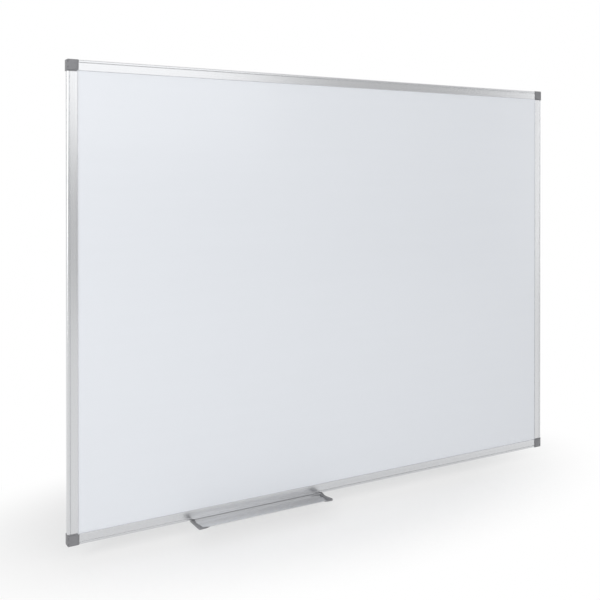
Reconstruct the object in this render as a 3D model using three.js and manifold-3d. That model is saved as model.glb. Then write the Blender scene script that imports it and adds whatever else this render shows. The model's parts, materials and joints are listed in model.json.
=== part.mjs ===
// Magnetic whiteboard for a wall: a lacquered steel panel in an aluminium frame, with
// grey corner pieces, hinged covers over the wall screws and a pen tray that slides along
// the bottom rail. Millimetres, +X to the right, +Z up, +Y into the wall. The origin is the
// middle of the board on the wall plane, and the writing side looks towards -Y.
import * as THREE from 'three';
import { mergeVertices } from 'three/addons/utils/BufferGeometryUtils.js';
import Module from 'manifold-3d';

const wasm = await Module();
wasm.setup();

// Board
const board_width = 1200;
const board_height = 900;

// Panel layers and how they lie in the frame
const sheet_thickness = 0.4;
const core_thickness = 8.6;
const back_sheet_thickness = 0.3;
const glue_film = 0.1;
const panel_play = 0.25;
const panel_end_gap = 0.3;

// Rail section: d runs from the front of the bead to the wall, u from the outer edge inwards
const rail_face = 20;
const bead_width = 4.6;
const bead_rise = 0.4;
const bead_outer_radius = 2.4;
const bead_inner_radius = 0.4;
const groove_width = 1.2;
const groove_depth = 0.9;
const face_wall = 1.3;
const back_wall = 1.3;
const lip_edge_radius = 0.5;
const nose_depth = 8.4;
const nose_lip = 1.4;
const channel_room = 2.4;
const channel_undercut = 5.3;
const channel_wall = 1.3;
const chamber_width = 4.8;
const slot_wall = 1.3;
const back_setback = 2.0;
const back_lip = 4.8;

// Corner piece and its cover
const corner_size = 22;
const corner_proud = 0.2;
const corner_round = 2.5;
const corner_chamfer = 4;
const corner_wall = 1.6;
const panel_side_wall = 1.3;
const corner_gap = 0.3;
const tenon_length = 28;
const tenon_gap = 0.3;
const tenon_tip = 1.2;
const boss_radius = 3.8;
const boss_height = 4.2;
const wall_hole_radius = 2.25;
const rim_width = 2.3;
const rim_step = 0.4;
const rim_root = 0.2;
const cover_thickness = 1.4;
const cover_gap = 0.3;
const ear_inset = 3.8;
const ear_length = 2.2;
const ear_root = 1.5;
const stub_radius = 0.6;
const stub_length = 1.5;
const stub_gap = 0.3;

// Assembly screws
const screw_inset = 14;
const screw_head_radius = 2.4;
const screw_head_height = 1.2;
const screw_shank_radius = 1.25;
const screw_length = 8;
const screw_point_radius = 0.5;
const screw_point_length = 2.5;
const screw_sink = 0.1;
const screw_gap = 0.3;
const recess_width = 0.6;
const recess_length = 2.4;
const recess_depth = 0.7;

// Pen tray
const tray_length = 304;
const tray_left_edge = 247;
const tray_reach = 40;
const tray_drop = 4.3;
const tray_floor = 1.2;
const tray_wall = 1.3;
const tray_neck = 1.4;
const tray_gap = 0.3;
const tray_lip_radius = 9;
const tray_lip_degrees = 38;
const tray_lip_end = 1.5;
const tray_back_proud = 1.1;
const tray_back_rise = 0.5;
const tray_back_lean = 0.6;
const tray_back_gap = 0.2;
const tray_top_radius = 0.6;

// Tray end caps
const cap_thickness = 6;
const cap_seat_gap = 0.1;
const cap_rim = 0.4;
const cap_front = 1.5;
const cap_front_height = 0.5;
const cap_nose_radius = 1.6;
const cap_dip_reach = 11;
const cap_dip_drop = 2.6;
const cap_peg_length = 8;
const cap_peg_gap = 0.3;
const cap_wing_length = 14;
const cap_wing_tip = 0.4;
const cap_wing_gap = 0.3;
const cap_wing_end_height = 1.2;

// Cuts run past the faces by this much, and points closer than this are one point
const overrun = 1;
const point_merge = 0.001;

// Steps of a full circle on round pieces, and of each arc in a section
const round_steps = 24;
const small_round_steps = 16;
const arc_steps = 6;

// Places in the rail section
const groove_radius = groove_width / 2;
const face_d = bead_rise;
const slot_front_d = face_d + face_wall;
const panel_thickness = sheet_thickness + core_thickness + back_sheet_thickness + 2 * glue_film;
const slot_back_d = slot_front_d + panel_thickness + 2 * panel_play;
const rail_depth = slot_back_d + back_wall;
const groove_floor_d = face_d + groove_depth;
const chamber_front_d = groove_floor_d + face_wall;
const channel_floor_u = nose_lip + channel_room;
const channel_front_d = nose_depth - channel_undercut;
const chamber_outer_u = channel_floor_u + channel_wall;
const chamber_inner_u = chamber_outer_u + chamber_width;
const slot_u = chamber_inner_u + slot_wall;
const chamber_middle_u = (chamber_outer_u + chamber_inner_u) / 2;

// Places in the corner piece
const corner_reach = corner_size - corner_proud;
const hinge_radius = cover_thickness;
const hinge_u = hinge_radius - corner_proud;
const hinge_d = cover_thickness - corner_proud;
const hinge_room = hinge_radius + cover_gap;
const block_front_d = hinge_d + cover_gap;
const rim_front_d = rim_step - corner_proud;
const rim_back_d = block_front_d + rim_root;
const cover_reach = corner_reach - rim_width - cover_gap;
const ear_low_v = ear_inset - corner_proud;
const ear_high_v = cover_reach - ear_inset;
const pocket_outer_u = corner_wall - corner_proud;
const pocket_inner_u = slot_u - panel_side_wall;
const wall_screw_u = (pocket_outer_u + pocket_inner_u) / 2;

// Places of the tray
const tray_centre_x = tray_left_edge + tray_length / 2 - board_width / 2;
const tray_floor_bottom_h = -(tray_drop + tray_floor);
const cap_bottom_h = tray_floor_bottom_h - cap_rim;
const neck_front_d = nose_depth + tray_gap;
const neck_back_d = neck_front_d + tray_neck;
const box_front_d = tray_wall - tray_back_proud;
const lip_turn = THREE.MathUtils.degToRad(tray_lip_degrees);
const lip_angle = 1.5 * Math.PI - lip_turn;
const lip_middle_radius = tray_lip_radius + tray_floor / 2;
const lip_front_d = face_d - tray_reach;
const lip_tip_d = lip_front_d + tray_floor / 2;
const lip_curve_h = tray_lip_radius - tray_drop;
const lip_curve_d = lip_tip_d + lip_middle_radius * Math.sin(lip_turn)
  + tray_lip_end * Math.cos(lip_turn);
const lip_tip_h = lip_curve_h - lip_middle_radius * Math.cos(lip_turn)
  + tray_lip_end * Math.sin(lip_turn);

const colours = {
  lacquer: new THREE.Color('#e3e6ec'),
  aluminium: new THREE.Color('#c9cacc'),
  grey_plastic: new THREE.Color('#8c8c8f'),
  card: new THREE.Color('#b39b74'),
  galvanised: new THREE.Color('#a9adb0'),
  screw_steel: new THREE.Color('#8f9294'),
};

const finishes = {
  lacquered_steel: { color: colours.lacquer, roughness: 0.2, metalness: 0 },
  aluminium: { color: colours.aluminium, roughness: 0.4, metalness: 1 },
  grey_plastic: { color: colours.grey_plastic, roughness: 0.5, metalness: 0 },
  card_core: { color: colours.card, roughness: 0.9, metalness: 0 },
  galvanised_steel: { color: colours.galvanised, roughness: 0.5, metalness: 1 },
  screw_steel: { color: colours.screw_steel, roughness: 0.35, metalness: 1 },
};

const part = new THREE.Group();

function addMesh(parent, name, geometry, finish) {
  const mesh = new THREE.Mesh(geometry, new THREE.MeshStandardMaterial(finishes[finish]));
  mesh.name = name;
  parent.add(mesh);
  return mesh;
}

// A closed geometry as a solid that can be joined and cut
function solidOf(geometry) {
  const bare = geometry.clone();
  bare.deleteAttribute('normal');
  bare.deleteAttribute('uv');
  const merged = mergeVertices(bare);
  const vertProperties = new Float32Array(merged.attributes.position.array);
  const triVerts = new Uint32Array(merged.index.array);
  return new wasm.Manifold(new wasm.Mesh({ numProp: 3, vertProperties, triVerts }));
}

function geometryOf(solid) {
  const mesh = solid.getMesh();
  const geometry = new THREE.BufferGeometry();
  geometry.setAttribute('position', new THREE.BufferAttribute(mesh.vertProperties, mesh.numProp));
  geometry.setIndex(new THREE.BufferAttribute(mesh.triVerts, 1));
  geometry.computeVertexNormals();
  return geometry;
}

// A box between two corners
function box(low, high) {
  const size = high.map((value, axis) => value - low[axis]);
  const middle = high.map((value, axis) => (value + low[axis]) / 2);
  const geometry = new THREE.BoxGeometry(...size);
  geometry.translate(...middle);
  return solidOf(geometry);
}

// A cylinder along one axis, from low to high on that axis
function cylinder(axis, centre, radius, low, high, steps) {
  const geometry = new THREE.CylinderGeometry(radius, radius, high - low, steps);
  if (axis === 'x') geometry.rotateZ(-Math.PI / 2);
  if (axis === 'z') geometry.rotateX(Math.PI / 2);
  const place = { x: 0, y: 0, z: 0, ...centre };
  place[axis] = (low + high) / 2;
  geometry.translate(place.x, place.y, place.z);
  return solidOf(geometry);
}

// The points of an outline, with those left out that lie on the one before
function distinctPoints(path) {
  const points = path.getPoints(arc_steps);
  return points.filter((point, i) => point.distanceTo(points.at(i - 1)) > point_merge);
}

// A closed outline with its holes, swept along its own Z by a depth
function sweep(outline, depth) {
  const shape = new THREE.Shape(distinctPoints(outline));
  shape.holes = outline.holes.map((hole) => new THREE.Path(distinctPoints(hole)));
  return new THREE.ExtrudeGeometry(shape, { depth, bevelEnabled: false });
}

// A section in the YZ plane, drawn as (y, z), swept along X between two places
function sweepX(section, low, high) {
  const geometry = sweep(section, high - low);
  geometry.applyMatrix4(new THREE.Matrix4().makeBasis(
    new THREE.Vector3(0, 1, 0),
    new THREE.Vector3(0, 0, 1),
    new THREE.Vector3(1, 0, 0),
  ));
  geometry.translate(low, 0, 0);
  return solidOf(geometry);
}

// An outline in the XZ plane, drawn as (x, z), swept along Y between two places
function sweepY(outline, low, high) {
  const geometry = sweep(outline, high - low);
  geometry.rotateX(Math.PI / 2);
  geometry.translate(0, high, 0);
  return solidOf(geometry);
}

function polygon(points) {
  return new THREE.Shape(points.map(([x, y]) => new THREE.Vector2(x, y)));
}

function rectangle(low_x, low_y, high_x, high_y) {
  return polygon([[low_x, low_y], [high_x, low_y], [high_x, high_y], [low_x, high_y]]);
}

// Panel: writing sheet, core and back sheet, glued to one another
function addPanel() {
  const half_width = board_width / 2 - slot_u - panel_end_gap;
  const half_height = board_height / 2 - slot_u - panel_end_gap;
  const layers = [
    ['writing_sheet', sheet_thickness, 'lacquered_steel'],
    ['core_board', core_thickness, 'card_core'],
    ['back_sheet', back_sheet_thickness, 'galvanised_steel'],
  ];
  let front_y = slot_front_d + panel_play - rail_depth;
  for (const [name, thickness, finish] of layers) {
    const geometry = new THREE.BoxGeometry(2 * half_width, thickness, 2 * half_height);
    const mesh = addMesh(part, name, geometry, finish);
    mesh.position.y = front_y + thickness / 2;
    front_y += thickness + glue_film;
  }
}

// Rail section, drawn as (d, u): a flat bead with rounded edges and a round groove on the face,
// panel slot on the inner side, a chamber for the corner's tenon, and a channel for the tray's
// hook on the outer side
function railSection() {
  const section = new THREE.Shape();
  section.moveTo(bead_outer_radius, 0);
  section.absarc(
    bead_outer_radius, bead_outer_radius, bead_outer_radius, -Math.PI / 2, Math.PI, true,
  );
  section.lineTo(0, bead_width - bead_inner_radius);
  section.absarc(
    bead_inner_radius, bead_width - bead_inner_radius, bead_inner_radius,
    Math.PI, Math.PI / 2, true,
  );
  section.absarc(
    groove_floor_d - groove_radius, bead_width + groove_radius, groove_radius,
    -Math.PI / 2, Math.PI / 2, false,
  );
  section.lineTo(face_d, bead_width + groove_width);
  section.lineTo(face_d, rail_face - lip_edge_radius);
  section.absarc(
    face_d + lip_edge_radius, rail_face - lip_edge_radius, lip_edge_radius,
    Math.PI, Math.PI / 2, true,
  );
  section.lineTo(slot_front_d, rail_face);
  section.lineTo(slot_front_d, slot_u);
  section.lineTo(slot_back_d, slot_u);
  section.lineTo(slot_back_d, slot_u + back_lip);
  section.lineTo(rail_depth, slot_u + back_lip);
  section.lineTo(rail_depth, back_setback);
  section.lineTo(slot_back_d, back_setback);
  section.lineTo(slot_back_d, channel_floor_u);
  section.lineTo(channel_front_d, channel_floor_u);
  section.lineTo(channel_front_d, nose_lip);
  section.lineTo(nose_depth, nose_lip);
  section.lineTo(nose_depth, 0);
  section.holes.push(rectangle(chamber_front_d, chamber_outer_u, slot_back_d, chamber_inner_u));
  return section;
}

// A countersunk hole through the rail's back wall, at a place along the rail
function countersink(along) {
  const profile = [
    [0, -back_wall - overrun],
    [screw_shank_radius + screw_gap, -back_wall - overrun],
    [screw_shank_radius + screw_gap, -screw_head_height - screw_sink],
    [screw_head_radius + screw_gap, -screw_sink],
    [screw_head_radius + screw_gap, overrun],
    [0, overrun],
  ];
  const geometry = new THREE.LatheGeometry(
    profile.map(([radius, height]) => new THREE.Vector2(radius, height)), small_round_steps,
  );
  geometry.translate(along, rail_depth, chamber_middle_u);
  return solidOf(geometry);
}

// A rail as it lies at the bottom edge, from the board's outer edge upwards
function railGeometry(span) {
  const half_length = span / 2 - corner_reach - corner_gap;
  const screw_place = span / 2 - corner_reach - screw_inset;
  const bar = sweepX(railSection(), -half_length, half_length);
  const cut = bar.subtract(countersink(-screw_place)).subtract(countersink(screw_place));
  return geometryOf(cut);
}

// Countersunk self-tapping screw, its head towards the wall, with a cross recess
function screwGeometry() {
  const profile = [
    [0, -screw_length],
    [screw_point_radius, -screw_length],
    [screw_shank_radius, screw_point_length - screw_length],
    [screw_shank_radius, -screw_head_height],
    [screw_head_radius, 0],
    [0, 0],
  ];
  const body = solidOf(new THREE.LatheGeometry(
    profile.map(([radius, height]) => new THREE.Vector2(radius, height)), small_round_steps,
  ));
  const half_length = recess_length / 2;
  const half_width = recess_width / 2;
  const one_way = box([-half_length, -recess_depth, -half_width], [half_length, overrun, half_width]);
  const other_way = box([-half_width, -recess_depth, -half_length], [half_width, overrun, half_length]);
  return geometryOf(body.subtract(one_way.add(other_way)));
}

// The four rails with their end screws. Each is built as the bottom rail and turned about the
// board's middle, so its outer edge lands on its own side of the board.
function addRails() {
  const rails = [
    ['bottom_rail', board_width, board_height, 0],
    ['left_stile', board_height, board_width, Math.PI / 2],
    ['top_rail', board_width, board_height, Math.PI],
    ['right_stile', board_height, board_width, -Math.PI / 2],
  ];
  for (const [name, span, across, turn] of rails) {
    const side = new THREE.Group();
    side.rotation.y = turn;
    part.add(side);
    const rail = addMesh(side, name, railGeometry(span), 'aluminium');
    rail.position.set(0, -rail_depth, -across / 2);
    const screw_place = span / 2 - corner_reach - screw_inset;
    for (const [end, sign] of [['a', -1], ['b', 1]]) {
      const screw = addMesh(side, `${name}_screw_${end}`, screwGeometry(), 'screw_steel');
      screw.position.set(sign * screw_place, -screw_sink, chamber_middle_u - across / 2);
    }
  }
}

// Outline of a corner piece in (u, v), rounded at the board's corner and chamfered at the
// inner one. The two inner sides and the chamfer are drawn in by an inset.
function cornerOutline(inset) {
  const low = -corner_proud;
  const high = corner_reach - inset;
  const chamfer = corner_chamfer - inset * (2 - Math.SQRT2);
  const outline = new THREE.Shape();
  outline.moveTo(low + corner_round, low);
  outline.lineTo(high, low);
  outline.lineTo(high, high - chamfer);
  outline.lineTo(high - chamfer, high);
  outline.lineTo(low, high);
  outline.lineTo(low, low + corner_round);
  outline.absarc(
    low + corner_round, low + corner_round, corner_round, Math.PI, 1.5 * Math.PI, false,
  );
  return outline;
}

// Tenon along u that fills the rail's chamber, with a tapered tip
function tenonAlongU() {
  const outer_v = chamber_outer_u + tenon_gap;
  const inner_v = chamber_inner_u - tenon_gap;
  const tip_u = corner_reach + tenon_length;
  const outline = polygon([
    [corner_reach - corner_wall, outer_v],
    [tip_u - tenon_tip, outer_v],
    [tip_u, outer_v + tenon_tip],
    [tip_u, inner_v - tenon_tip],
    [tip_u - tenon_tip, inner_v],
    [corner_reach - corner_wall, inner_v],
  ]);
  const tenon = sweepY(outline, chamber_front_d + tenon_gap, slot_back_d - tenon_gap);
  const pilot = cylinder(
    'y', { x: corner_reach + screw_inset, z: chamber_middle_u },
    screw_shank_radius + screw_gap, 0, rail_depth, small_round_steps,
  );
  return tenon.subtract(pilot);
}

// The same tenon along v: u and v change places
function tenonAlongV() {
  const turned = new THREE.Matrix4().set(
    0, 0, 1, 0,
    0, 1, 0, 0,
    1, 0, 0, 0,
    0, 0, 0, 1,
  );
  const geometry = geometryOf(tenonAlongU());
  geometry.applyMatrix4(turned);
  const order = geometry.index.array;
  for (let i = 0; i < order.length; i += 3) {
    [order[i], order[i + 1]] = [order[i + 1], order[i]];
  }
  return solidOf(geometry);
}

// Two ears that hold the cover's hinge stubs
function hingeEars() {
  const ears = [ear_low_v, ear_high_v - ear_length].map((low_v) => {
    const high_v = low_v + ear_length;
    const round = cylinder('z', { x: hinge_u, y: hinge_d }, hinge_radius, low_v, high_v, round_steps);
    const root = box(
      [-corner_proud, hinge_d, low_v],
      [hinge_u + hinge_radius, hinge_d + hinge_room + ear_root, high_v],
    );
    return round.add(root);
  });
  const hole = cylinder(
    'z', { x: hinge_u, y: hinge_d }, stub_radius + stub_gap,
    -corner_proud, corner_reach, small_round_steps,
  );
  return ears[0].add(ears[1]).subtract(hole);
}

// Rim along the two inner sides, where the cover ends. It passes in front of the panel.
function cornerRim() {
  return sweepY(cornerOutline(0), rim_front_d, rim_back_d)
    .subtract(sweepY(cornerOutline(rim_width), rim_front_d - overrun, rail_depth));
}

// Corner piece as it lies at the bottom left: an open pocket around the wall screw, a plate
// behind the panel's corner and two tenons. x is u, y is d and z is v.
function cornerGeometry() {
  const outer = pocket_outer_u;
  const inner = pocket_inner_u;
  const end = corner_reach - corner_wall;
  const far = corner_reach + overrun;
  const block = sweepY(cornerOutline(0), block_front_d, rail_depth);
  const pocket = box([outer, -overrun, outer], [inner, slot_back_d, end])
    .add(box([outer, -overrun, outer], [end, slot_back_d, inner]));
  const panel_room = box([slot_u, -overrun, slot_u], [far, slot_back_d, far]);
  const hinge_cut = box(
    [-corner_proud - overrun, -overrun, -corner_proud - overrun],
    [hinge_u + hinge_room, hinge_d + hinge_room, cover_reach + cover_gap],
  );
  const screw_place = { x: wall_screw_u, z: wall_screw_u };
  const boss = cylinder(
    'y', screw_place, boss_radius, slot_back_d - boss_height, rail_depth, round_steps,
  );
  const wall_hole = cylinder(
    'y', screw_place, wall_hole_radius, 0, rail_depth + overrun, round_steps,
  );
  const corner = block.subtract(pocket).subtract(panel_room).subtract(hinge_cut)
    .add(cornerRim()).add(hingeEars()).add(boss).subtract(wall_hole)
    .add(tenonAlongU()).add(tenonAlongV());
  return geometryOf(corner);
}

// Cover over the pocket: a plate whose outer edge is a round hinge barrel with two stubs
function coverGeometry() {
  const outline = cornerOutline(rim_width + cover_gap);
  const plate = sweepY(outline, -corner_proud, hinge_d);
  const outer_strip = box(
    [-corner_proud - overrun, -corner_proud - overrun, -corner_proud - overrun],
    [hinge_u, hinge_d + overrun, corner_reach],
  );
  const barrel = cylinder(
    'z', { x: hinge_u, y: hinge_d }, hinge_radius, -corner_proud, cover_reach, round_steps,
  );
  const envelope = sweepY(outline, -corner_proud - overrun, rail_depth);
  let cover = plate.subtract(outer_strip).add(barrel.intersect(envelope));
  for (const low_v of [ear_low_v, ear_high_v - ear_length]) {
    cover = cover.subtract(box(
      [-corner_proud - overrun, -corner_proud - overrun, low_v - cover_gap],
      [hinge_u + hinge_room, hinge_d + hinge_room, low_v + ear_length + cover_gap],
    ));
  }
  const stubs = cylinder(
    'z', { x: hinge_u, y: hinge_d }, stub_radius,
    ear_low_v + ear_length + cover_gap - stub_length,
    ear_high_v - ear_length - cover_gap + stub_length,
    small_round_steps,
  );
  return geometryOf(cover.add(stubs));
}

// The four corners, each with its cover. All are mirror images of the bottom left one.
function addCorners() {
  const corners = [
    ['bottom_left', 1, 1],
    ['bottom_right', -1, 1],
    ['top_left', 1, -1],
    ['top_right', -1, -1],
  ];
  for (const [name, side, rise] of corners) {
    const place = new THREE.Group();
    place.position.set(-side * board_width / 2, -rail_depth, -rise * board_height / 2);
    place.scale.set(side, 1, rise);
    part.add(place);
    addMesh(place, `${name}_corner`, cornerGeometry(), 'grey_plastic');
    addMesh(place, `${name}_cover`, coverGeometry(), 'grey_plastic');
  }
}

// Tray section, drawn as (d, h) with h up from the bottom rail's underside: a shallow floor
// with a raised front lip, a back box whose leaning front wall rises before the bead's lower
// edge, and a hook that runs in the rail's channel
function traySection() {
  const hook_low_h = nose_lip + tray_gap;
  const hook_high_h = channel_floor_u - tray_gap;
  const rounding_h = tray_back_rise - tray_top_radius;
  const section = new THREE.Shape();
  section.moveTo(neck_back_d, tray_floor_bottom_h);
  section.lineTo(lip_curve_d, tray_floor_bottom_h);
  section.absarc(
    lip_curve_d, lip_curve_h, tray_lip_radius + tray_floor, 1.5 * Math.PI, lip_angle, true,
  );
  section.absarc(lip_tip_d, lip_tip_h, tray_floor / 2, lip_angle, lip_angle - Math.PI, true);
  section.absarc(lip_curve_d, lip_curve_h, tray_lip_radius, lip_angle, 1.5 * Math.PI, false);
  section.lineTo(-tray_back_proud - tray_back_lean, -tray_drop);
  section.lineTo(-tray_back_proud, rounding_h);
  section.absarc(
    tray_top_radius - tray_back_proud, rounding_h, tray_top_radius, Math.PI, Math.PI / 2, true,
  );
  section.lineTo(-tray_back_gap, tray_back_rise);
  section.lineTo(-tray_back_gap, -tray_gap);
  section.lineTo(neck_front_d, -tray_gap);
  section.lineTo(neck_front_d, hook_low_h);
  section.lineTo(channel_front_d + tray_gap, hook_low_h);
  section.lineTo(channel_front_d + tray_gap, hook_high_h);
  section.lineTo(slot_back_d - tray_gap, hook_high_h);
  section.lineTo(slot_back_d - tray_gap, hook_low_h);
  section.lineTo(neck_back_d, hook_low_h);
  section.holes.push(rectangle(
    box_front_d, tray_floor_bottom_h + tray_wall, neck_back_d - tray_wall, -tray_gap - tray_wall,
  ));
  return section;
}

// Side view of an end cap, drawn as (d, h): level under the rail, then a hollow top edge that
// rises to a rounded front
function capSection() {
  const curve_radius = tray_lip_radius + tray_floor + cap_rim;
  const front_d = lip_front_d - cap_front;
  const curve_d = front_d + curve_radius * Math.sin(lip_turn) + cap_rim;
  const nose_h = cap_front_height - cap_nose_radius;
  const section = new THREE.Shape();
  section.moveTo(neck_back_d, cap_bottom_h);
  section.lineTo(curve_d, cap_bottom_h);
  section.absarc(
    curve_d, cap_bottom_h + curve_radius, curve_radius, 1.5 * Math.PI, lip_angle, true,
  );
  section.lineTo(front_d, nose_h - cap_nose_radius);
  section.absarc(
    front_d + cap_nose_radius, nose_h, cap_nose_radius, Math.PI, Math.PI / 2, true,
  );
  section.splineThru([
    new THREE.Vector2(-cap_dip_reach, -cap_dip_drop),
    new THREE.Vector2(-tray_back_proud, -tray_gap),
  ]);
  section.lineTo(neck_back_d, -tray_gap);
  return section;
}

// The wing that an end cap wraps round the front lip: the cap's own section carried along the
// lip, tapered to its tip in plan and in height
function capWing() {
  const root_x = cap_thickness / 2;
  const tip_x = cap_thickness + cap_wing_length;
  const back_d = lip_front_d - cap_wing_gap;
  const bar = sweepX(capSection(), root_x, tip_x);
  const plan_outline = polygon([
    [root_x, back_d],
    [tip_x, back_d],
    [tip_x, back_d - cap_wing_tip],
    [root_x, lip_front_d - cap_front],
  ]);
  const plan = sweep(plan_outline, cap_front_height - cap_bottom_h);
  plan.translate(0, 0, cap_bottom_h);
  const front_outline = polygon([
    [root_x, cap_bottom_h],
    [tip_x, lip_tip_h - cap_wing_end_height / 2],
    [tip_x, lip_tip_h + cap_wing_end_height / 2],
    [root_x, cap_front_height],
  ]);
  const front = sweepY(front_outline, lip_front_d - cap_front - overrun, 0);
  return bar.intersect(solidOf(plan)).intersect(front);
}

// End cap as it lies at the tray's left end: a side plate, a peg in the tray's back box and a
// wing round the front lip
function capGeometry() {
  const plate = sweepX(capSection(), 0, cap_thickness);
  const peg = box(
    [cap_thickness / 2, box_front_d + cap_peg_gap, tray_floor_bottom_h + tray_wall + cap_peg_gap],
    [
      cap_thickness + cap_peg_length,
      neck_back_d - tray_wall - cap_peg_gap,
      -tray_gap - tray_wall - cap_peg_gap,
    ],
  );
  return geometryOf(plate.add(peg).add(capWing()));
}

function addTray() {
  const tray = new THREE.Group();
  tray.position.set(tray_centre_x, -rail_depth, -board_height / 2);
  part.add(tray);
  const half_length = tray_length / 2;
  const half_profile = half_length - cap_thickness - cap_seat_gap;
  const profile = sweepX(traySection(), -half_profile, half_profile);
  addMesh(tray, 'pen_tray', geometryOf(profile), 'aluminium');
  for (const [name, side] of [['left', 1], ['right', -1]]) {
    const cap = addMesh(tray, `tray_cap_${name}`, capGeometry(), 'grey_plastic');
    cap.position.x = -side * half_length;
    cap.scale.x = side;
  }
}

addPanel();
addRails();
addCorners();
addTray();

export default part;
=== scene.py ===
"""Looks of a magnetic whiteboard, built as a Blender add-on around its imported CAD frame.

The board hangs on a wall at y = 0, its writing side looks towards -Y, and everything is in
metres. Rails and tray are drawn from their sections, the moulded and turned pieces are softened
copies of their solids, and every piece gets a node material named for what the real one is.
"""
import json
import math

import bmesh
import bpy
from bpy.props import FloatProperty, FloatVectorProperty, IntProperty, PointerProperty
from mathutils import Matrix, Vector

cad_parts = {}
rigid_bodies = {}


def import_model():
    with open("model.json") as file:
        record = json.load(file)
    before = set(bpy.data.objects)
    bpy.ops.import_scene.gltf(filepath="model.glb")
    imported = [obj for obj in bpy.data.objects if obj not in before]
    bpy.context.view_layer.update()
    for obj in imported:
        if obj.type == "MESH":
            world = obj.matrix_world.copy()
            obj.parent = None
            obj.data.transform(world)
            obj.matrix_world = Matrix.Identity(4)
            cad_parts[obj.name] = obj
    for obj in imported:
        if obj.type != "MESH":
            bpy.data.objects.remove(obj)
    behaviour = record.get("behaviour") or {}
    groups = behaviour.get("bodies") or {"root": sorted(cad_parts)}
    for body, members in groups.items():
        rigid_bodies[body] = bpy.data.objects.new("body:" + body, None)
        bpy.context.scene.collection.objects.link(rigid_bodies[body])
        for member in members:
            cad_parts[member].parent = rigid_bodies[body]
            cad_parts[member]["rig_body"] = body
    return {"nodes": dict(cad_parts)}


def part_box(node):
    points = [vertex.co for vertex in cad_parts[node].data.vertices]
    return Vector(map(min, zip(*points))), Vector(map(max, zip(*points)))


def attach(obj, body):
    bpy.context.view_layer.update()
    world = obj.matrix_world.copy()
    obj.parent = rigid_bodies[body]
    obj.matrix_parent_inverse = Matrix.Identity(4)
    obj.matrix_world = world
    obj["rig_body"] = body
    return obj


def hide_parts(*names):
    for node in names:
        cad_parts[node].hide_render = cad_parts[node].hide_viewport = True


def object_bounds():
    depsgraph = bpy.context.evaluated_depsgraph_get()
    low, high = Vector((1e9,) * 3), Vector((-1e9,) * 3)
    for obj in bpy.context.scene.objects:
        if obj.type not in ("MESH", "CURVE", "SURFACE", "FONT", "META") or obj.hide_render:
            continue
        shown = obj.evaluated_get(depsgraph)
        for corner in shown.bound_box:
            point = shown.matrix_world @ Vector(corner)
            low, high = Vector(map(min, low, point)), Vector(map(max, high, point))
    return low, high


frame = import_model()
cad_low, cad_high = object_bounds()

bl_info = {
    "name": "Magnetic whiteboard looks",
    "version": (1, 0, 0),
    "blender": (4, 5, 0),
    "location": "View3D > Sidebar > Whiteboard",
    "description": "Builds the finished rails, tray, plastic pieces and studio of a whiteboard",
    "category": "Object",
}

MM = 0.001

# Names of the CAD nodes. A rail's number is the turn about Y, in degrees, that takes the
# bottom rail's section to it.
CORNERS = ("bottom_left", "bottom_right", "top_left", "top_right")
RAILS = {"bottom_rail": 0, "left_stile": 90, "top_rail": 180, "right_stile": 270}
SCREW_ENDS = ("a", "b")
TRAY_CAPS = ("tray_cap_left", "tray_cap_right")

# Names of the materials of the extrusions and the mouldings
LEVEL_ALUMINIUM = "Anodised aluminium along X"
UPRIGHT_ALUMINIUM = "Anodised aluminium along Z"
GREY_ABS = "Moulded grey ABS"

# Points closer than this are one point
MERGE_DISTANCE = 0.001 * MM
# Faces this nearly level become one face
FLAT_ANGLE = math.radians(0.5)
# Edges sharper than this are rounded
ROUNDED_ANGLE = math.radians(40)
# Edges that are still sharper than this stay sharp in the shading
SHARP_ANGLE = math.radians(32)
# Steps of a full turn on turned pieces
TURNED_STEPS = 24
# How far the tray's front lip turns up from its floor, in degrees
LIP_TURN = 38

# Noise keeps mostly between these two values
NOISE_LOW = 0.3
NOISE_HIGH = 0.7

# The camera, fitted to the photograph
CAMERA_PLACE = (-1.0166, -1.5949, 0.2293)
CAMERA_SHIFT_X = -0.00083
SENSOR_WIDTH_MM = 36.0

# Each softbox, under the name of its power in WhiteboardStudio: its width and height, its
# place, and the point it looks at
SOFTBOXES = {
    "key": ((3.9, 2.2), (-0.35, -3.2, 1.52), (-0.35, 0, 1.2)),
    "side": ((2.2, 2.2), (4.9, -3.3, 0.6), (4.9, 0, 0.6)),
    "left": ((1.0, 2.2), (-2.6, -1.6, 0.75), (-0.4, 0, 0.1)),
}

# The grey wall behind the camera: half its size, and where its middle stands
WALL_HALF_WIDTH = 6.0
WALL_HALF_HEIGHT = 2.2
WALL_X = 1.0
WALL_Y = -3.4

# The floor shows its shadow in an oval that is longer along X, and is plain white outside it
FLOOR_SEGMENTS = 96
SHADOW_CENTRE = (-0.06, 0.10)
SHADOW_STRETCH = 2.0
SHADOW_INNER = 0.22
SHADOW_OUTER = 0.46
SHADOW_LEAST_WHITE = 0.42


def linear(code):
    """An sRGB hex colour, such as '#c9cacc', as linear red, green, blue and alpha."""
    parts = [int(code[i:i + 2], 16) / 255 for i in (1, 3, 5)]
    return [*((p / 12.92 if p <= 0.04045 else ((p + 0.055) / 1.055) ** 2.4) for p in parts), 1.0]


def length(name, description, metres):
    """A length that a user may change, in metres."""
    return FloatProperty(
        name=name, description=description, default=metres, min=0.0, precision=5,
        unit="LENGTH", subtype="DISTANCE",
    )


def colour(name, description, code):
    """A colour that a user may change, from its sRGB hex value."""
    return FloatVectorProperty(
        name=name, description=description, default=linear(code), size=4, min=0.0, max=1.0,
        subtype="COLOR",
    )


def power(name, description, watts):
    """A lamp's power that a user may change."""
    return FloatProperty(
        name=name, description=description, default=watts, min=0.0, unit="POWER",
    )


def turn(name, description, degrees):
    """An angle that a user may change, given in degrees and kept in radians."""
    return FloatProperty(
        name=name, description=description, default=math.radians(degrees), subtype="ANGLE",
    )


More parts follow.
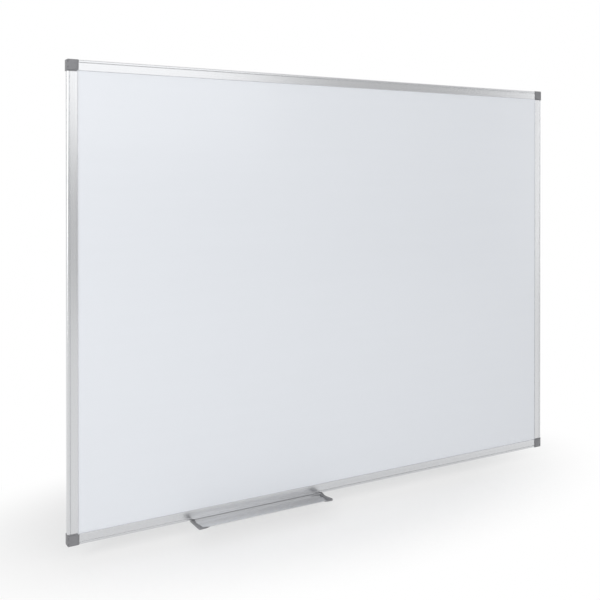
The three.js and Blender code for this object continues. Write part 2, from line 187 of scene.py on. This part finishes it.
class WhiteboardSizes(bpy.types.PropertyGroup):
    """Sizes of the sections and of the small roundings, in metres."""

    depth: length("Frame depth", "From the front of the bead to the wall", 0.013)
    face: length("Face", "Width of a rail's face, outer edge to inner edge", 0.020)
    bead: length("Bead", "Width of the flat bead along the outer edge", 0.0046)
    bead_edge: length("Bead outer edge", "Rounding along the bead's outer edge", 0.0024)
    bead_lip: length("Bead inner edge", "Rounding along the bead's inner edge", 0.0004)
    face_d: length("Face setback", "How far the flat face lies behind the bead", 0.0004)
    groove: length("Groove width", "Width of the round groove beside the bead", 0.0012)
    groove_d: length("Groove floor", "Depth of the groove's floor behind the bead", 0.0013)
    wall: length("Wall", "Thickness of the face wall and the back wall", 0.0013)
    lip: length("Lip rounding", "Rounding of the inner front edge", 0.0005)
    slot_u: length("Slot floor", "From the outer edge to the bottom of the panel's slot", 0.0112)
    slot_back_d: length("Slot back", "From the bead's front to the inside of the back wall", 0.0117)
    nose_d: length("Nose depth", "Depth of the nose that the tray hangs behind", 0.0084)
    nose: length("Nose lip", "Thickness of the nose", 0.0014)
    channel_d: length("Channel front", "Depth at which the tray's channel starts", 0.0031)
    channel_u: length("Channel floor", "From the outer edge to the channel's floor", 0.0038)
    chamber_low: length("Chamber start", "From the outer edge to the tenon's chamber", 0.0051)
    chamber_high: length("Chamber end", "From the outer edge to the chamber's far side", 0.0099)
    back_setback: length("Back setback", "How far the back wall stands in from the edge", 0.0020)
    back_lip: length("Back lip", "How far the back wall reaches behind the panel", 0.0048)
    hole: length("Screw hole", "Radius of the clearance holes in the back wall", 0.00155)
    sink: length("Countersink", "Radius of the countersinks at the back", 0.0027)
    sink_edge: length("Countersink edge", "Depth of the countersinks' straight edge", 0.0001)
    tray_reach: length("Tray reach", "From the bead's front to the front of the tray's lip", 0.0396)
    tray_drop: length("Tray drop", "From the rail's underside to the tray's floor", 0.0043)
    tray_sheet: length("Tray floor", "Thickness of the tray's floor", 0.0012)
    tray_lip: length("Tray lip radius", "Inner radius of the tray's raised lip", 0.009)
    tray_lip_end: length("Tray lip end", "Straight end of the lip", 0.0015)
    tray_proud: length("Tray back", "How far the back wall stands before the bead", 0.0011)
    tray_rise: length("Tray back rise", "From the rail's underside up to the back wall's top", 0.0005)
    tray_lean: length("Tray back lean", "How far the back wall's foot stands before its top", 0.0006)
    tray_gap: length("Tray back gap", "Free gap between the bead and the back wall's rim", 0.0002)
    tray_round: length("Tray back rounding", "Rounding along the top of the back wall", 0.0006)
    play: length("Play", "Free gap between the tray's hook and the rail", 0.0003)
    softness: length("Moulded edge", "Rounding of the moulded pieces' edges", 0.00025)
    die_edge: length("Extruded edge", "Rounding that the die leaves on an extrusion", 0.00012)
    turned_edge: length("Screw edge", "Rounding of the screws' edges", 0.00006)
    arc_steps: IntProperty(
        name="Arc steps", description="Steps of each quarter turn in a section", default=8,
        min=2, max=32,
    )


class WhiteboardColours(bpy.types.PropertyGroup):
    """Colours of the finishes and of the studio."""

    lacquer: colour("Lacquer", "White lacquer of the writing sheet", "#dfe2e7")
    aluminium: colour("Aluminium", "Clear anodised aluminium", "#d3d4d6")
    plastic: colour("Plastic", "Grey ABS of the corners and caps", "#7e7e81")
    card: colour("Card", "Raw card of the core", "#b39b74")
    zinc: colour("Galvanised", "Galvanised steel of the back sheet", "#a9adb0")
    screw: colour("Screw", "Zinc-plated screw steel", "#8f9294")
    floor: colour("Floor", "Pale studio floor", "#fafafa")
    wall: colour("Wall", "Grey wall of the studio behind the camera", "#cfcfcf")


class WhiteboardStudio(bpy.types.PropertyGroup):
    """The camera, the floor and the lamps."""

    lens: FloatProperty(
        name="Lens", description="Focal length on a 36 mm sensor, in millimetres", default=51.509,
        min=1.0, unit="CAMERA",
    )
    yaw: turn("Yaw", "How far the camera is turned to the right", 29.972)
    pitch: turn("Pitch", "How far the camera looks down", 0.3407)
    rise: FloatProperty(
        name="Lens shift", description="Vertical lens shift that keeps the uprights parallel",
        default=-0.19352,
    )
    floor_gap: length("Floor gap", "From the board's lowest edge to the floor", 0.030)
    floor_reach: length("Floor reach", "Radius of the floor", 4.5)
    fill: FloatProperty(
        name="Fill", description="Strength of the even light from all round", default=0.58, min=0.0,
    )
    key: power("Key", "Power of the large front softbox, in watts", 25.4)
    side: power("Side", "Power of the softbox on the right, in watts", 16.0)
    left: power("Left", "Power of the softbox on the left, in watts", 28.0)


# Materials

def add_node(tree, kind, sockets=None, **settings):
    """Adds a node with its settings; a socket takes a value or another node's output."""
    node = tree.nodes.new(kind)
    for name, value in settings.items():
        setattr(node, name, value)
    for name, value in (sockets or {}).items():
        if isinstance(value, bpy.types.NodeSocket):
            tree.links.new(value, node.inputs[name])
        else:
            node.inputs[name].default_value = value
    return node


def new_material(name, metallic, ior=1.5):
    """An empty node material with a Principled shader, whose plain sockets are set here."""
    material = bpy.data.materials.new(name)
    material.use_nodes = True
    tree = material.node_tree
    tree.nodes.clear()
    shader = add_node(tree, "ShaderNodeBsdfPrincipled", {"Metallic": metallic, "IOR": ior})
    add_node(tree, "ShaderNodeOutputMaterial", {"Surface": shader.outputs["BSDF"]})
    return material, tree, shader


def grain(tree, sizes, detail=2.0, roughness=0.5):
    """A noise on Object coordinates, whose grains have these sizes along X, Y and Z, in mm."""
    place = add_node(tree, "ShaderNodeTexCoord")
    scaled = add_node(
        tree, "ShaderNodeMapping",
        {"Vector": place.outputs["Object"], "Scale": [1 / (size * MM) for size in sizes]},
    )
    return add_node(
        tree, "ShaderNodeTexNoise",
        {"Vector": scaled.outputs["Vector"], "Scale": 1.0, "Detail": detail, "Roughness": roughness},
    ).outputs["Fac"]


def dress(tree, shader, base, tone, roughness, relief):
    """Gives a shader its finish. The tone is a pattern with the darkest and the lightest share of
    the base colour, the roughness a pattern with its lowest and highest value, and the relief a
    pattern with the bump's strength and its depth in mm."""
    spread = {"From Min": NOISE_LOW, "From Max": NOISE_HIGH}
    share = add_node(
        tree, "ShaderNodeMapRange",
        {"Value": tone[0], **spread, "To Min": tone[1], "To Max": tone[2]},
    )
    tinted = add_node(
        tree, "ShaderNodeVectorMath",
        {0: tuple(base)[:3], "Scale": share.outputs["Result"]}, operation="SCALE",
    )
    satin = add_node(
        tree, "ShaderNodeMapRange",
        {"Value": roughness[0], **spread, "To Min": roughness[1], "To Max": roughness[2]},
    )
    bump = add_node(
        tree, "ShaderNodeBump",
        {"Height": relief[0], "Strength": relief[1], "Distance": relief[2] * MM},
    )
    tree.links.new(tinted.outputs["Vector"], shader.inputs["Base Color"])
    tree.links.new(satin.outputs["Result"], shader.inputs["Roughness"])
    tree.links.new(bump.outputs["Normal"], shader.inputs["Normal"])


def lacquered_steel(colours):
    """White lacquer baked on steel sheet: an even, slightly blue white with a gloss that mirrors
    the room softly. Rolling leaves a long wave in the sheet, wiping leaves faint level haze."""
    material, tree, shader = new_material("Lacquered steel sheet", 0.0, 1.5)
    wave = grain(tree, (200, 200, 111), 1.0)
    haze = grain(tree, (250, 33.3, 16.7), 3.0)
    dress(
        tree, shader, colours.lacquer,
        tone=(haze, 0.994, 1.0), roughness=(haze, 0.15, 0.20), relief=(wave, 0.10, 1.5),
    )
    return material


def anodised_aluminium(colours, name, along):
    """Extruded aluminium, etched and clear anodised: a satin grey metal with fine die lines along
    its length. Real lines are 0.1 mm apart, drawn at 0.5 mm so that they show."""
    material, tree, shader = new_material(name, 1.0)

    def drawn(spacing, run):
        return [run if axis == along else spacing for axis in "XYZ"]

    lines = grain(tree, drawn(0.5, 900), 1.0)
    bands = grain(tree, drawn(3, 800))
    dress(
        tree, shader, colours.aluminium,
        tone=(lines, 0.975, 1.015), roughness=(bands, 0.23, 0.27), relief=(lines, 0.12, 0.10),
    )
    return material


def moulded_abs(colours):
    """Grey ABS from a spark-eroded mould: a dull satin with a fine even grain. The real grain is
    0.1 mm, drawn at 0.45 mm so that it shows."""
    material, tree, shader = new_material(GREY_ABS, 0.0, 1.53)
    spark = grain(tree, [0.45] * 3, 2.0, 0.6)
    flow = grain(tree, [12] * 3)
    dress(
        tree, shader, colours.plastic,
        tone=(flow, 0.94, 1.05), roughness=(spark, 0.42, 0.56), relief=(spark, 0.30, 0.06),
    )
    return material


def card_core(colours):
    """Raw grey-brown card: matt, with short pale and dark fibres."""
    material, tree, shader = new_material("Raw card", 0.0, 1.45)
    fibres = grain(tree, (8.33, 1.11, 1.43), 4.0, 0.65)
    dress(
        tree, shader, colours.card,
        tone=(fibres, 0.82, 1.10), roughness=(fibres, 0.85, 0.95), relief=(fibres, 0.4, 0.1),
    )
    return material


def galvanised_steel(colours):
    """Hot-dip galvanised sheet: a dull grey metal in 9 mm spangles, each with its own tone."""
    material, tree, shader = new_material("Galvanised steel sheet", 1.0)
    place = add_node(tree, "ShaderNodeTexCoord")
    spangle = add_node(
        tree, "ShaderNodeTexVoronoi", {"Vector": place.outputs["Object"], "Scale": 1 / (9 * MM)}
    )
    own = add_node(tree, "ShaderNodeSeparateColor", {"Color": spangle.outputs["Color"]})
    cloud = grain(tree, [71.4] * 3, 3.0)
    clouded = add_node(
        tree, "ShaderNodeMath", {0: own.outputs["Red"], 1: cloud}, operation="MULTIPLY"
    )
    dress(
        tree, shader, colours.zinc,
        tone=(clouded.outputs["Value"], 0.96, 1.12),
        roughness=(own.outputs["Green"], 0.42, 0.60),
        relief=(spangle.outputs["Distance"], 0.08, 0.2),
    )
    return material


def zinc_plated_steel(colours):
    """Zinc-plated screw steel: a cool, slightly cloudy metal, darker than the sheet."""
    material, tree, shader = new_material("Zinc-plated steel", 1.0)
    cloud = grain(tree, [1.2] * 3, 3.0)
    dress(
        tree, shader, colours.screw,
        tone=(cloud, 0.90, 1.10), roughness=(cloud, 0.28, 0.42), relief=(cloud, 0.10, 0.03),
    )
    return material


# Shapes

def finished(bm, name, node, material):
    """Turns a bmesh into a piece that replaces a CAD node and rides on that node's body."""
    bmesh.ops.recalc_face_normals(bm, faces=bm.faces)
    mesh = bpy.data.meshes.new(name)
    bm.to_mesh(mesh)
    bm.free()
    mesh.shade_smooth()
    mesh.set_sharp_from_angle(angle=SHARP_ANGLE)
    mesh.materials.append(material)
    piece = bpy.data.objects.new(name, mesh)
    bpy.context.scene.collection.objects.link(piece)
    weighted = piece.modifiers.new("Flat faces stay flat", "WEIGHTED_NORMAL")
    weighted.keep_sharp = True
    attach(piece, frame["nodes"][node]["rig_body"])
    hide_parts(node)


def soften(bm, width, segments, only_along_x=False):
    """Rounds the sharp edges, all of them or only those that run along X."""
    sharp = [
        e for e in bm.edges
        if e.is_manifold and e.calc_face_angle() > ROUNDED_ANGLE
        and (not only_along_x or abs(e.verts[0].co.x - e.verts[1].co.x) > width)
    ]
    bmesh.ops.bevel(
        bm, geom=sharp, offset=width, offset_type="OFFSET", affect="EDGES", segments=segments,
        profile=0.5, material=-1, clamp_overlap=True,
    )


def middle(node):
    """The middle of a CAD node's box."""
    low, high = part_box(node)
    return (low + high) / 2


def softened_copy(node, width, segments=2):
    """A bmesh of a CAD node, its triangles merged into whole faces and its edges rounded."""
    bm = bmesh.new()
    bm.from_mesh(frame["nodes"][node].data)
    bmesh.ops.remove_doubles(bm, verts=bm.verts, dist=MERGE_DISTANCE)
    bmesh.ops.dissolve_limit(
        bm, angle_limit=FLAT_ANGLE, verts=bm.verts, edges=bm.edges,
        use_dissolve_boundaries=False,
    )
    soften(bm, width, segments)
    return bm


def trace(bm, steps):
    """Draws a closed outline in the YZ plane. A step is a place (y, z), or an arc (centre y,
    centre z, degrees, count) that turns the last place about its centre."""
    loop = []
    for step in steps:
        if len(step) == 2:
            loop.append(bm.verts.new((0.0, *step)))
            continue
        y, z, degrees, count = step
        known = set(bm.verts)
        bmesh.ops.spin(
            bm, geom=[loop[-1]], cent=(0.0, y, z), axis=(1, 0, 0), angle=math.radians(degrees),
            steps=count,
        )
        loop += [v for v in bm.verts if v not in known]
    for near, far in zip(loop, loop[1:] + loop[:1]):
        if not bm.edges.get((near, far)):
            bm.edges.new((near, far))


def extruded(steps, hole, low, high):
    """A bmesh of an outline with a rectangular hole, drawn along X from low to high."""
    bm = bmesh.new()
    trace(bm, steps)
    (y0, z0), (y1, z1) = hole
    trace(bm, [(y0, z0), (y1, z0), (y1, z1), (y0, z1)])
    bmesh.ops.triangle_fill(bm, edges=bm.edges, use_beauty=True, use_dissolve=True)
    bmesh.ops.translate(bm, verts=bm.verts, vec=(low, 0, 0))
    grown = bmesh.ops.extrude_face_region(bm, geom=bm.faces[:])["geom"]
    moved = [g for g in grown if isinstance(g, bmesh.types.BMVert)]
    bmesh.ops.translate(bm, verts=moved, vec=(high - low, 0, 0))
    bmesh.ops.recalc_face_normals(bm, faces=bm.faces)
    return bm


def rail_section(s, edge_z):
    """The outline and the chamber of a rail whose outer edge is at edge_z. In both sections d
    runs from the bead's front to the wall, and u from the rail's outer edge inwards."""
    def at(d, u):
        return d - s.depth, edge_z + u

    groove_centre_d = s.groove_d - s.groove / 2
    steps = [
        at(s.bead_edge, 0),
        (*at(s.bead_edge, s.bead_edge), -90, s.arc_steps),
        at(0, s.bead - s.bead_lip),
        (*at(s.bead_lip, s.bead - s.bead_lip), -90, s.arc_steps),
        at(groove_centre_d, s.bead),
        (*at(groove_centre_d, s.bead + s.groove / 2), 180, 2 * s.arc_steps),
        at(s.face_d, s.bead + s.groove),
        at(s.face_d, s.face - s.lip),
        (*at(s.face_d + s.lip, s.face - s.lip), -90, s.arc_steps // 2),
        at(s.face_d + s.wall, s.face),
        at(s.face_d + s.wall, s.slot_u),
        at(s.slot_back_d, s.slot_u),
        at(s.slot_back_d, s.slot_u + s.back_lip),
        at(s.depth, s.slot_u + s.back_lip),
        at(s.depth, s.back_setback),
        at(s.slot_back_d, s.back_setback),
        at(s.slot_back_d, s.channel_u),
        at(s.channel_d, s.channel_u),
        at(s.channel_d, s.nose),
        at(s.nose_d, s.nose),
        at(s.nose_d, 0),
    ]
    chamber = at(s.groove_d + s.wall, s.chamber_low), at(s.slot_back_d, s.chamber_high)
    return steps, chamber


def tray_section(s, edge_z):
    """The outline and the chamber of the tray under a rail whose outer edge is at edge_z: floor,
    raised lip, back wall, and the hook in the rail's channel."""
    def at(d, u):
        return d - s.depth, edge_z + u

    up = math.radians(LIP_TURN)
    outward = Vector((-math.sin(up), -math.cos(up)))
    lip_middle = s.tray_lip + s.tray_sheet / 2
    under = -(s.tray_drop + s.tray_sheet)
    curve = Vector((
        s.tray_sheet / 2 - s.tray_reach + lip_middle * math.sin(up)
        + s.tray_lip_end * math.cos(up), s.tray_lip - s.tray_drop,
    ))
    tip = curve + outward * lip_middle + s.tray_lip_end * Vector((outward.y, -outward.x))
    neck_front = s.nose_d + s.play
    neck_back = neck_front + s.nose
    hook_low = s.nose + s.play
    hook_high = s.channel_u - s.play
    hook_front = s.channel_d + s.play
    hook_back = s.slot_back_d - s.play
    rounding = s.tray_rise - s.tray_round
    steps = [
        at(neck_back, under),
        at(curve.x, under),
        (*at(*curve), -LIP_TURN, s.arc_steps),
        at(*(tip + outward * s.tray_sheet / 2)),
        (*at(*tip), -180, s.arc_steps),
        at(*(curve + outward * s.tray_lip)),
        (*at(*curve), LIP_TURN, s.arc_steps),
        at(-s.tray_proud - s.tray_lean, -s.tray_drop),
        at(-s.tray_proud, rounding),
        (*at(s.tray_round - s.tray_proud, rounding), -90, s.arc_steps),
        at(-s.tray_gap, s.tray_rise),
        at(-s.tray_gap, -s.play),
        at(neck_front, -s.play),
        at(neck_front, hook_low),
        at(hook_front, hook_low),
        at(hook_front, hook_high),
        at(hook_back, hook_high),
        at(hook_back, hook_low),
        at(neck_back, hook_low),
    ]
    chamber = at(s.wall - s.tray_proud, under + s.wall), at(neck_back - s.wall, -s.play - s.wall)
    return steps, chamber


def turned(centres, profile):
    """A bmesh of equal turned solids, whose axes run along Y through the centres."""
    bm = bmesh.new()
    for centre in centres:
        line = [bm.verts.new((centre.x + radius, y, centre.z)) for radius, y in profile]
        edges = [bm.edges.new(pair) for pair in zip(line, line[1:])]
        bmesh.ops.spin(
            bm, geom=line + edges, cent=(centre.x, 0, centre.z), axis=(0, 1, 0),
            angle=math.tau, steps=TURNED_STEPS, use_merge=True,
        )
    bmesh.ops.remove_doubles(bm, verts=bm.verts, dist=MERGE_DISTANCE)
    bmesh.ops.recalc_face_normals(bm, faces=bm.faces)
    return bm


def bored(bm, cutter_bm):
    """Cuts one bmesh out of another."""
    holders = []
    for name, source in (("blank", bm), ("cutter", cutter_bm)):
        mesh = bpy.data.meshes.new(name)
        source.to_mesh(mesh)
        source.free()
        holders.append(bpy.data.objects.new(name, mesh))
        bpy.context.scene.collection.objects.link(holders[-1])
    blank, cutter = holders
    cut = blank.modifiers.new("Bore", "BOOLEAN")
    cut.object = cutter
    cut.operation = "DIFFERENCE"
    cut.solver = "EXACT"
    view = bpy.context.evaluated_depsgraph_get()
    result = bmesh.new()
    result.from_object(blank, view)
    for holder in holders:
        bpy.data.meshes.remove(holder.data)
    return result


# Operators for the whiteboard's pieces

def assign(node, material):
    """Gives a CAD node that stays a better material."""
    slots = frame["nodes"][node].material_slots
    if len(slots) == 0:
        frame["nodes"][node].data.materials.append(material)
    for slot in slots:
        slot.material = material


class WHITEBOARD_OT_finish_panel(bpy.types.Operator):
    """Finishes the writing sheet, its card core and the galvanised back sheet"""

    bl_idname = "whiteboard.finish_panel"
    bl_label = "Finish the panel"

    def execute(self, context):
        colours = context.scene.whiteboard_colours
        assign("writing_sheet", lacquered_steel(colours))
        assign("core_board", card_core(colours))
        assign("back_sheet", galvanised_steel(colours))
        return {"FINISHED"}


class WHITEBOARD_OT_add_rails(bpy.types.Operator):
    """Draws the four aluminium rails from their section, with the countersinks at the back"""

    bl_idname = "whiteboard.add_rails"
    bl_label = "Add the rails"

    def execute(self, context):
        s = context.scene.whiteboard_sizes
        colours = context.scene.whiteboard_colours
        level = anodised_aluminium(colours, LEVEL_ALUMINIUM, "X")
        upright = anodised_aluminium(colours, UPRIGHT_ALUMINIUM, "Z")
        # Radius and y of the cutter: clearance hole, cone, and a run out past the back face
        countersink = [
            (0, -2 * s.wall), (s.hole, -2 * s.wall), (s.hole, -s.wall),
            (s.sink, -s.sink_edge), (s.sink, s.wall), (0, s.wall),
        ]
        for rail, degrees in RAILS.items():
            there = Matrix.Rotation(math.radians(degrees), 3, "Y")
            back = Matrix.Rotation(math.radians(-degrees), 3, "Y")
            ends = sorted((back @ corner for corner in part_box(rail)), key=lambda end: end.x)
            edge_z = min(end.z for end in ends)
            # Drawn and bored where the bottom rail lies, then turned to its own place
            bm = extruded(*rail_section(s, edge_z), ends[0].x, ends[1].x)
            soften(bm, s.die_edge, 2, only_along_x=True)
            screws = [back @ middle(f"{rail}_screw_{end}") for end in SCREW_ENDS]
            bm = bored(bm, turned(screws, countersink))
            bmesh.ops.rotate(bm, verts=bm.verts, cent=(0, 0, 0), matrix=there)
            material = upright if degrees % 180 else level
            finished(bm, f"{rail}_profile", rail, material)
        return {"FINISHED"}


class WHITEBOARD_OT_add_screws(bpy.types.Operator):
    """Adds the eight countersunk assembly screws at the back"""

    bl_idname = "whiteboard.add_screws"
    bl_label = "Add the screws"

    def execute(self, context):
        steel = zinc_plated_steel(context.scene.whiteboard_colours)
        width = context.scene.whiteboard_sizes.turned_edge
        for rail in RAILS:
            for end in SCREW_ENDS:
                node = f"{rail}_screw_{end}"
                bm = softened_copy(node, width, 1)
                finished(bm, f"{node}_turned", node, steel)
        return {"FINISHED"}


class WHITEBOARD_OT_add_corners(bpy.types.Operator):
    """Adds the four moulded corner pieces with their hinged covers"""

    bl_idname = "whiteboard.add_corners"
    bl_label = "Add the corners and covers"

    def execute(self, context):
        plastic = moulded_abs(context.scene.whiteboard_colours)
        width = context.scene.whiteboard_sizes.softness
        for corner in CORNERS:
            for node in (f"{corner}_corner", f"{corner}_cover"):
                bm = softened_copy(node, width)
                finished(bm, f"{node}_moulding", node, plastic)
        return {"FINISHED"}


class WHITEBOARD_OT_add_tray(bpy.types.Operator):
    """Draws the pen tray from its section"""

    bl_idname = "whiteboard.add_tray"
    bl_label = "Add the pen tray"

    def execute(self, context):
        s = context.scene.whiteboard_sizes
        low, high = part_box("pen_tray")
        edge_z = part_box("bottom_rail")[0].z
        bm = extruded(*tray_section(s, edge_z), low.x, high.x)
        soften(bm, s.die_edge, 2, only_along_x=True)
        material = bpy.data.materials[LEVEL_ALUMINIUM]
        finished(bm, "pen_tray_profile", "pen_tray", material)
        return {"FINISHED"}


class WHITEBOARD_OT_add_tray_caps(bpy.types.Operator):
    """Adds the two end caps that wrap the tray's front lip"""

    bl_idname = "whiteboard.add_tray_caps"
    bl_label = "Add the tray caps"

    def execute(self, context):
        plastic = bpy.data.materials[GREY_ABS]
        width = context.scene.whiteboard_sizes.softness
        for node in TRAY_CAPS:
            bm = softened_copy(node, width)
            finished(bm, f"{node}_moulding", node, plastic)
        return {"FINISHED"}


# The studio

def seen_directly(tree):
    """1 for camera, glossy and transmission rays, 0 for the rays that light the object."""
    path = add_node(tree, "ShaderNodeLightPath")
    either = add_node(
        tree, "ShaderNodeMath",
        {0: path.outputs["Is Camera Ray"], 1: path.outputs["Is Glossy Ray"]}, operation="MAXIMUM",
    )
    return add_node(
        tree, "ShaderNodeMath",
        {0: either.outputs["Value"], 1: path.outputs["Is Transmission Ray"]}, operation="MAXIMUM",
    ).outputs["Value"]


def painted_floor(colours):
    """Pale painted floor: shows the object's soft shadow near it and runs out to white."""
    material, tree, shader = new_material("Pale painted floor", 0.0, 1.45)
    roller = grain(tree, [16.7] * 3, 3.0)
    dress(
        tree, shader, colours.floor,
        tone=(roller, 0.995, 1.0), roughness=(roller, 0.6, 0.7), relief=(roller, 0.05, 0.5),
    )
    place = add_node(tree, "ShaderNodeTexCoord")
    x, y = SHADOW_CENTRE
    narrowed = add_node(
        tree, "ShaderNodeMapping",
        {
            "Vector": place.outputs["Object"],
            "Location": (-x / SHADOW_STRETCH, -y, 0),
            "Scale": (1 / SHADOW_STRETCH, 1, 1),
        },
    )
    reach = add_node(
        tree, "ShaderNodeVectorMath", {0: narrowed.outputs["Vector"]}, operation="LENGTH"
    )
    fade = add_node(
        tree, "ShaderNodeMapRange",
        {
            "Value": reach.outputs["Value"],
            "From Min": SHADOW_INNER,
            "From Max": SHADOW_OUTER,
            "To Min": SHADOW_LEAST_WHITE,
        },
        interpolation_type="SMOOTHSTEP",
    )
    share = add_node(
        tree, "ShaderNodeMath",
        {0: fade.outputs["Result"], 1: seen_directly(tree)}, operation="MULTIPLY",
    )
    white = add_node(tree, "ShaderNodeEmission", {"Color": (1, 1, 1, 1), "Strength": 1.0})
    mixed = add_node(
        tree, "ShaderNodeMixShader",
        {0: share.outputs["Value"], 1: shader.outputs["BSDF"], 2: white.outputs["Emission"]},
    )
    output = next(n for n in tree.nodes if n.type == "OUTPUT_MATERIAL")
    tree.links.new(mixed.outputs["Shader"], output.inputs["Surface"])
    return material


def add_backdrop(bm, name, material, place):
    """Adds a stage piece, which isn't part of the object."""
    mesh = bpy.data.meshes.new(name)
    bm.to_mesh(mesh)
    bm.free()
    mesh.materials.append(material)
    backdrop = bpy.data.objects.new(name, mesh)
    backdrop.location = place
    bpy.context.scene.collection.objects.link(backdrop)
    return backdrop


def add_floor(studio, colours, foot):
    """A round floor at the height of foot."""
    bm = bmesh.new()
    bmesh.ops.create_circle(
        bm, cap_ends=True, radius=studio.floor_reach, segments=FLOOR_SEGMENTS
    )
    add_backdrop(bm, "studio_floor", painted_floor(colours), (0, 0, foot))


def add_wall(colours, foot):
    """An evenly glowing grey wall behind the camera, which the metal mirrors."""
    material = bpy.data.materials.new("Grey studio wall")
    material.use_nodes = True
    tree = material.node_tree
    tree.nodes.clear()
    glow = add_node(tree, "ShaderNodeEmission", {"Color": tuple(colours.wall), "Strength": 1.0})
    add_node(tree, "ShaderNodeOutputMaterial", {"Surface": glow.outputs["Emission"]})
    bm = bmesh.new()
    bmesh.ops.create_grid(bm, x_segments=1, y_segments=1, size=1.0)
    bmesh.ops.scale(bm, verts=bm.verts, vec=(WALL_HALF_WIDTH, WALL_HALF_HEIGHT, 1.0))
    upright = Matrix.Rotation(math.radians(90), 3, "X")
    bmesh.ops.rotate(bm, verts=bm.verts, cent=(0, 0, 0), matrix=upright)
    wall = add_backdrop(bm, "studio_wall", material, (WALL_X, WALL_Y, foot + WALL_HALF_HEIGHT))
    wall.visible_camera = False


def add_surroundings(scene, fill):
    """A world that lights the object evenly and is seen as plain white."""
    world = bpy.data.worlds.new("Studio")
    world.use_nodes = True
    tree = world.node_tree
    tree.nodes.clear()
    even = add_node(tree, "ShaderNodeBackground", {"Color": (1, 1, 1, 1), "Strength": fill})
    white = add_node(tree, "ShaderNodeBackground", {"Color": (1, 1, 1, 1), "Strength": 1.0})
    mixed = add_node(
        tree, "ShaderNodeMixShader",
        {0: seen_directly(tree), 1: even.outputs["Background"], 2: white.outputs["Background"]},
    )
    add_node(tree, "ShaderNodeOutputWorld", {"Surface": mixed.outputs["Shader"]})
    scene.world = world


def add_softbox(name, watts, size, place, target):
    """A rectangular area lamp that looks at a target."""
    lamp = bpy.data.lights.new(name, "AREA")
    lamp.shape = "RECTANGLE"
    lamp.size, lamp.size_y = size
    lamp.energy = watts
    holder = bpy.data.objects.new(name, lamp)
    holder.location = place
    holder.rotation_euler = (Vector(target) - Vector(place)).to_track_quat("-Z", "Y").to_euler()
    bpy.context.scene.collection.objects.link(holder)


def add_camera(scene, studio):
    """The camera at the photograph's place, with its lens shifted as the photograph's is."""
    camera = bpy.data.cameras.new("photo_camera")
    camera.lens = studio.lens
    camera.sensor_width = SENSOR_WIDTH_MM
    camera.shift_x = CAMERA_SHIFT_X
    camera.shift_y = studio.rise
    holder = bpy.data.objects.new("photo_camera", camera)
    holder.location = CAMERA_PLACE
    holder.rotation_euler = (math.pi / 2 - studio.pitch, 0, -studio.yaw)
    scene.collection.objects.link(holder)
    scene.camera = holder


class WHITEBOARD_OT_add_stage(bpy.types.Operator):
    """Adds the floor, the white surroundings, the softboxes and the camera"""

    bl_idname = "whiteboard.add_stage"
    bl_label = "Add the studio"

    def execute(self, context):
        scene = context.scene
        studio = scene.whiteboard_studio
        foot = cad_low.z - studio.floor_gap
        add_floor(studio, scene.whiteboard_colours, foot)
        add_surroundings(scene, studio.fill)
        add_wall(scene.whiteboard_colours, foot)
        for name, (size, place, target) in SOFTBOXES.items():
            add_softbox(f"{name}_softbox", getattr(studio, name), size, place, target)
        add_camera(scene, studio)
        scene.view_settings.view_transform = "Standard"
        return {"FINISHED"}


# The add-on

class WHITEBOARD_PT_builder(bpy.types.Panel):
    """Lists the whiteboard's pieces, sizes and colours in the sidebar"""

    bl_label = "Whiteboard"
    bl_idname = "WHITEBOARD_PT_builder"
    bl_space_type = "VIEW_3D"
    bl_region_type = "UI"
    bl_category = "Whiteboard"

    def draw(self, context):
        column = self.layout.column(align=True)
        for step in BUILD_STEPS:
            column.operator(step.bl_idname)
        for group in GROUPS:
            box = self.layout.box()
            holder = getattr(context.scene, group)
            for name in holder.bl_rna.properties.keys():
                if name not in ("rna_type", "name"):
                    box.prop(holder, name)


BUILD_STEPS = (
    WHITEBOARD_OT_add_stage,
    WHITEBOARD_OT_finish_panel,
    WHITEBOARD_OT_add_rails,
    WHITEBOARD_OT_add_screws,
    WHITEBOARD_OT_add_corners,
    WHITEBOARD_OT_add_tray,
    WHITEBOARD_OT_add_tray_caps,
)
GROUPS = {
    "whiteboard_sizes": WhiteboardSizes,
    "whiteboard_colours": WhiteboardColours,
    "whiteboard_studio": WhiteboardStudio,
}
CLASSES = (*GROUPS.values(), *BUILD_STEPS, WHITEBOARD_PT_builder)


def register():
    """Registers the classes and gives the scene its three groups of settings."""
    for cls in CLASSES:
        bpy.utils.register_class(cls)
    for name, group in GROUPS.items():
        setattr(bpy.types.Scene, name, PointerProperty(type=group))


def unregister():
    """Takes everything back that register has added."""
    for name in GROUPS:
        delattr(bpy.types.Scene, name)
    for cls in reversed(CLASSES):
        bpy.utils.unregister_class(cls)


def main():
    """Registers the add-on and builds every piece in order."""
    register()
    bpy.ops.whiteboard.add_stage()
    bpy.ops.whiteboard.finish_panel()
    bpy.ops.whiteboard.add_rails()
    bpy.ops.whiteboard.add_screws()
    bpy.ops.whiteboard.add_corners()
    bpy.ops.whiteboard.add_tray()
    bpy.ops.whiteboard.add_tray_caps()


if __name__ == "__main__":
    main()
